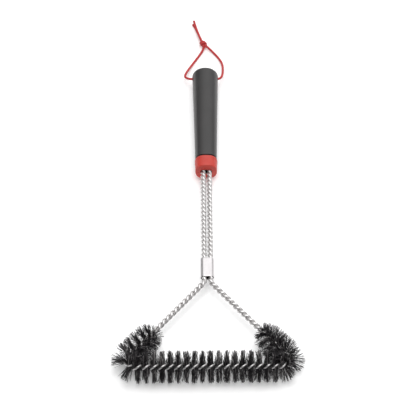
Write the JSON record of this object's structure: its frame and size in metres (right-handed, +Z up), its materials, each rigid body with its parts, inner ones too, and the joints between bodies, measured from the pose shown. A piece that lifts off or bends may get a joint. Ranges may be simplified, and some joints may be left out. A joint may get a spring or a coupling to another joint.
{
  "type": "grill cleaning brush",
  "caption": "Three-sided grill brush: a bent twisted-wire head with black bristles, an oval ferrule, a red collar, a tapered black grip and a knotted hanging cord.",
  "frame": {"origin": "on the table below the middle of the brush, which lies with its bristles and the butt of its grip on the table; the free cord is left out of the middle", "axes": "+Y runs along the brush from the bristled front side to the butt of the grip, +Z is up from the table, +X is to the right when looking along +Y"},
  "size_m": [0.2103, 0.5747, 0.034],
  "materials": {
    "steel_wire": "bright drawn wire with fine die lines",
    "polished_steel": "polished stainless sleeve with crimped, slightly rolled ends",
    "black_bristle": "stiff black filaments with cut tips",
    "black_plastic": "satin moulded plastic with a very fine grain",
    "red_plastic": "satin moulded red plastic",
    "red_cord": "round braided cord, slightly fuzzy"
  },
  "bodies": {
    "brush": {"bristles_front_1": "black_bristle", "bristles_front_2": "black_bristle", "bristles_front_3": "black_bristle", "bristles_front_4": "black_bristle", "bristles_front_5": "black_bristle", "bristles_front_6": "black_bristle", "bristles_front_7": "black_bristle", "bristles_front_8": "black_bristle", "bristles_front_9": "black_bristle", "bristles_left_arm_1": "black_bristle", "bristles_left_arm_2": "black_bristle", "bristles_left_corner": "black_bristle", "bristles_right_arm_1": "black_bristle", "bristles_right_arm_2": "black_bristle", "bristles_right_corner": "black_bristle", "ferrule": "polished_steel", "handle_collar": "red_plastic", "handle_grip": "black_plastic", "wire_a_front": "steel_wire", "wire_a_left_arm": "steel_wire", "wire_a_left_corner": "steel_wire", "wire_a_left_leg": "steel_wire", "wire_a_right_arm": "steel_wire", "wire_a_right_corner": "steel_wire", "wire_a_right_leg": "steel_wire", "wire_anchor_block": "black_plastic", "wire_b_front": "steel_wire", "wire_b_left_arm": "steel_wire", "wire_b_left_corner": "steel_wire", "wire_b_left_leg": "steel_wire", "wire_b_right_arm": "steel_wire", "wire_b_right_corner": "steel_wire", "wire_b_right_leg": "steel_wire"},
    "hang_loop": {"hang_cord_left": "red_cord", "hang_cord_right": "red_cord", "hang_cord_knot": "red_cord", "hang_cord_long_tail": "red_cord", "hang_cord_short_tail": "red_cord"}
  },
  "joints": [
    {"name": "hang_loop_swing", "type": "hinge", "parent": "brush", "child": "hang_loop", "pos_m": [0, 0.22125, 0.0165], "axis": [1, 0, 0], "range_deg": [0, 160]}
  ]
}
